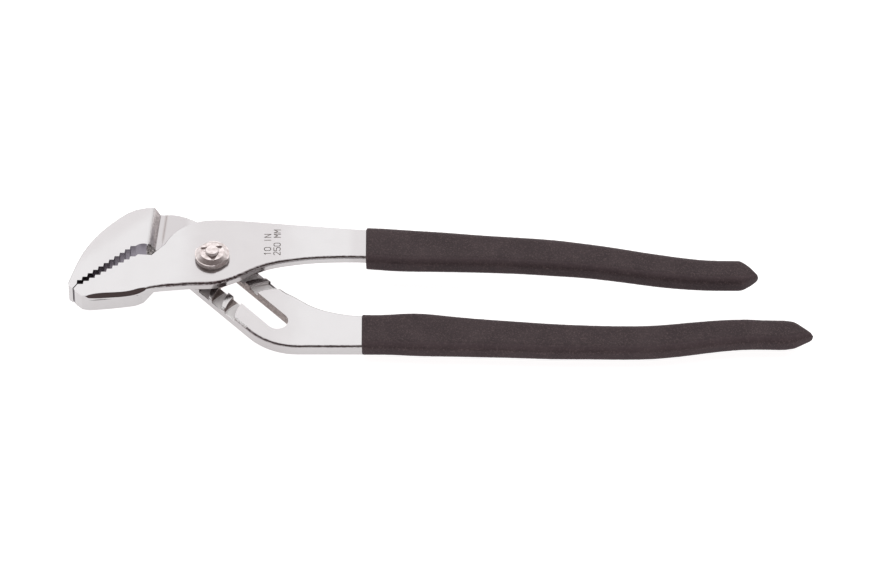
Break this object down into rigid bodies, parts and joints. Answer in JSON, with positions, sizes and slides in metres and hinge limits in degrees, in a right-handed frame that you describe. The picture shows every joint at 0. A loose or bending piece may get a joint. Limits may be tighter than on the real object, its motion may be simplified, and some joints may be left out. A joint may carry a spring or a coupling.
{
  "type": "tongue and groove pliers",
  "caption": "Slip-joint water pump pliers with angled toothed jaws, a slotted rear arm with arc grooves, a staked pivot bolt and dipped vinyl grips.",
  "frame": {"origin": "pivot axis, at the outer face of the pivot bolt's head, which is the lowest point of the pliers lying flat", "axes": "+X along the handles away from the jaws, +Y across towards the rear arm's jaw, +Z along the pivot from the bolt head to the nut"},
  "size_m": [0.2492, 0.0633, 0.0152],
  "materials": {
    "plated_steel": "satin bright chrome plate over drop-forged steel",
    "nickel_hardware": "nickel plated turned steel",
    "dipped_vinyl": "dark brown-black dipped vinyl with a fine leathery grain"
  },
  "bodies": {
    "front_arm_body": {"front_arm": "plated_steel", "front_grip": "dipped_vinyl"},
    "rear_arm_body": {"rear_arm": "plated_steel", "rear_grip": "dipped_vinyl", "pivot_bolt": "nickel_hardware", "pivot_washer": "nickel_hardware", "pivot_nut": "nickel_hardware"}
  },
  "joints": [
    {"name": "jaw_pivot", "type": "hinge", "parent": "front_arm_body", "child": "rear_arm_body", "pos_m": [0, 0, 0.0095], "axis": [0, 0, -1], "range_deg": [0, 70]}
  ]
}
